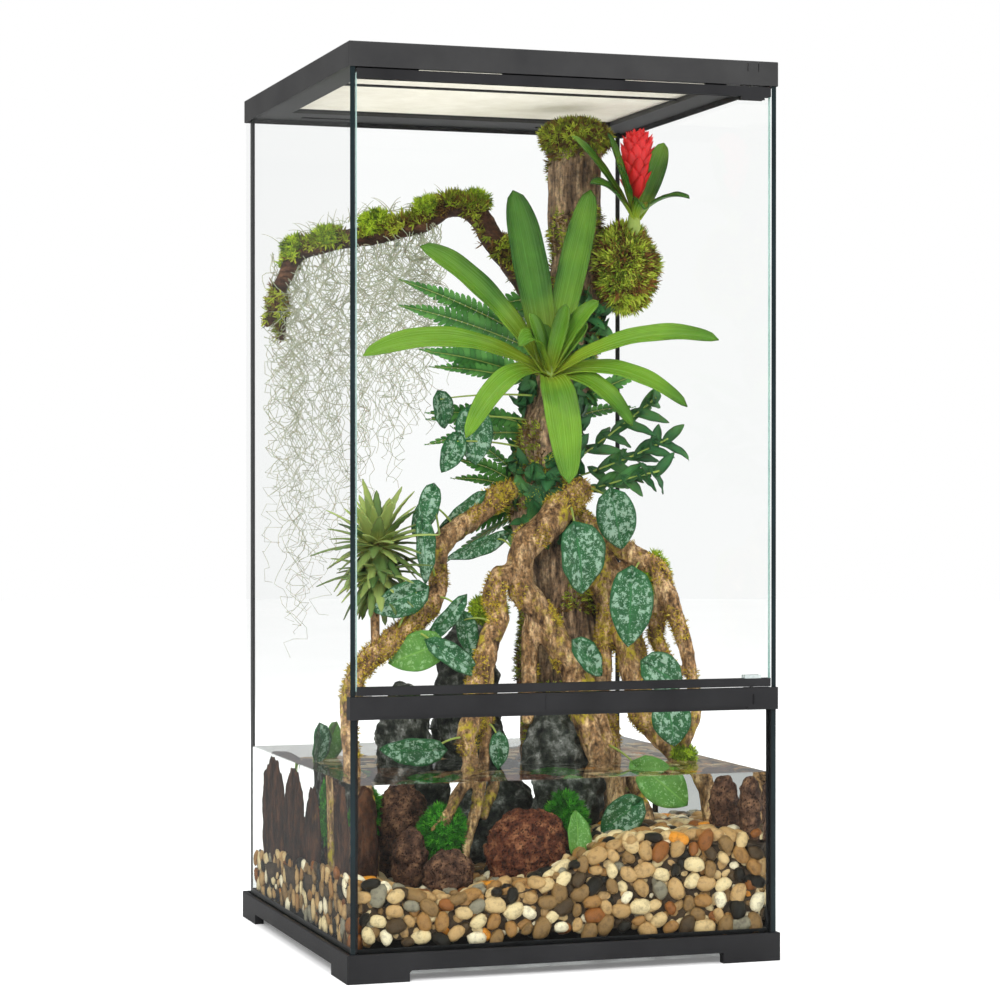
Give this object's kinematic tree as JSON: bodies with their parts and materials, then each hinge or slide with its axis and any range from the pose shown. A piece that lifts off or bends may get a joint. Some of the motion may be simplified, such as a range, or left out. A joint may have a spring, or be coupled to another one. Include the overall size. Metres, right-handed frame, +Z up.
{
  "type": "planted glass terrarium",
  "caption": "Tall square glass terrarium with a hinged front door, lift-off screen cover, crossbar, pebble bed, shallow water and planted wooden roots.",
  "frame": {"origin": "centre of the footprint on the ground", "axes": "+X to the right seen from the door, -Y out of the door, +Z up"},
  "size_m": [0.464, 0.464, 0.93],
  "materials": {
    "black_plastic": "fine matt moulded texture",
    "grey_plastic": "fine matt moulded texture",
    "float_glass": "clear, polished edges",
    "black_silicone": "satin tooled bead",
    "woven_steel": "fine woven screen",
    "steel": "satin",
    "clear_clamp": "clear moulded",
    "gravel": "rounded river pebbles",
    "water": "clear liquid surface",
    "trunk_bark": "rough brown bark",
    "root_wood": "weathered pale root with lichen",
    "cork": "rough cork bark",
    "lava": "porous volcanic rock",
    "brown_stone": "rough, matt",
    "grey_stone": "rough, veined",
    "olive_moss": "short cushion moss",
    "bright_moss": "short feathery moss",
    "pond_moss": "soft feathery water moss",
    "strap_leaf": "waxy leaf",
    "red_bract": "waxy bract",
    "dark_leaf": "waxy leaf",
    "silver_leaf": "waxy leaf with pale mottling",
    "green_stem": "smooth stem",
    "air_moss": "wiry hanging strands"
  },
  "bodies": {
    "enclosure": {"base_frame": "black_plastic", "bottom_glass": "float_glass", "left_glass": "float_glass", "right_glass": "float_glass", "back_glass": "float_glass", "front_glass": "float_glass", "silicone_seals": "black_silicone", "top_frame": "grey_plastic", "crossbar": "black_plastic", "crossbar_cap_left": "black_plastic", "crossbar_cap_right": "grey_plastic", "catch_plate": "steel", "door_stop": "black_plastic", "lower_hinge_pin": "steel", "upper_hinge_pin": "steel", "gravel_bed": "gravel", "water_surface": "water", "trunk": "trunk_bark", "arch_branch": "trunk_bark", "left_root": "root_wood", "centre_root": "root_wood", "right_roots": "root_wood", "cork_bark": "cork", "lava_rock": "lava", "brown_rocks": "brown_stone", "grey_rocks": "grey_stone", "moss_cap": "olive_moss", "moss_ball": "olive_moss", "branch_moss": "bright_moss", "root_moss": "bright_moss", "water_moss": "pond_moss", "large_bromeliad": "strap_leaf", "red_bromeliad": "strap_leaf", "flower_spike": "red_bract", "spiky_rosette": "dark_leaf", "fern_fronds": "dark_leaf", "shrub_sprigs": "dark_leaf", "vine_stems": "green_stem", "vine_leaves": "silver_leaf", "hanging_moss": "air_moss"},
    "door": {"door_glass": "float_glass", "door_bottom_rail": "black_plastic", "door_top_rail": "black_plastic", "door_magnet": "steel", "lower_hinge_clamp": "clear_clamp", "upper_hinge_clamp": "black_plastic"},
    "screen_cover": {"screen_frame": "black_plastic", "screen_mesh": "woven_steel"},
    "left_inlet_slide": {"inlet_slide_left": "black_plastic"},
    "right_inlet_slide": {"inlet_slide_right": "black_plastic"},
    "left_screen_lock": {"screen_lock_left": "black_plastic"},
    "right_screen_lock": {"screen_lock_right": "black_plastic"}
  },
  "joints": [
    {"name": "door_hinge", "type": "hinge", "parent": "enclosure", "child": "door", "pos_m": [0.2015, -0.2255, 0], "axis": [0, 0, 1], "range_deg": [0, 120]},
    {"name": "screen_lift", "type": "slide", "parent": "enclosure", "child": "screen_cover", "axis": [0, 0, 1], "range_m": [0, 0.06]},
    {"name": "left_inlet_travel", "type": "slide", "parent": "enclosure", "child": "left_inlet_slide", "axis": [1, 0, 0], "range_m": [0, 0.056]},
    {"name": "right_inlet_travel", "type": "slide", "parent": "enclosure", "child": "right_inlet_slide", "axis": [-1, 0, 0], "range_m": [0, 0.056]},
    {"name": "left_lock_travel", "type": "slide", "parent": "enclosure", "child": "left_screen_lock", "axis": [-1, 0, 0], "range_m": [0, 0.008]},
    {"name": "right_lock_travel", "type": "slide", "parent": "enclosure", "child": "right_screen_lock", "axis": [1, 0, 0], "range_m": [0, 0.008]}
  ]
}
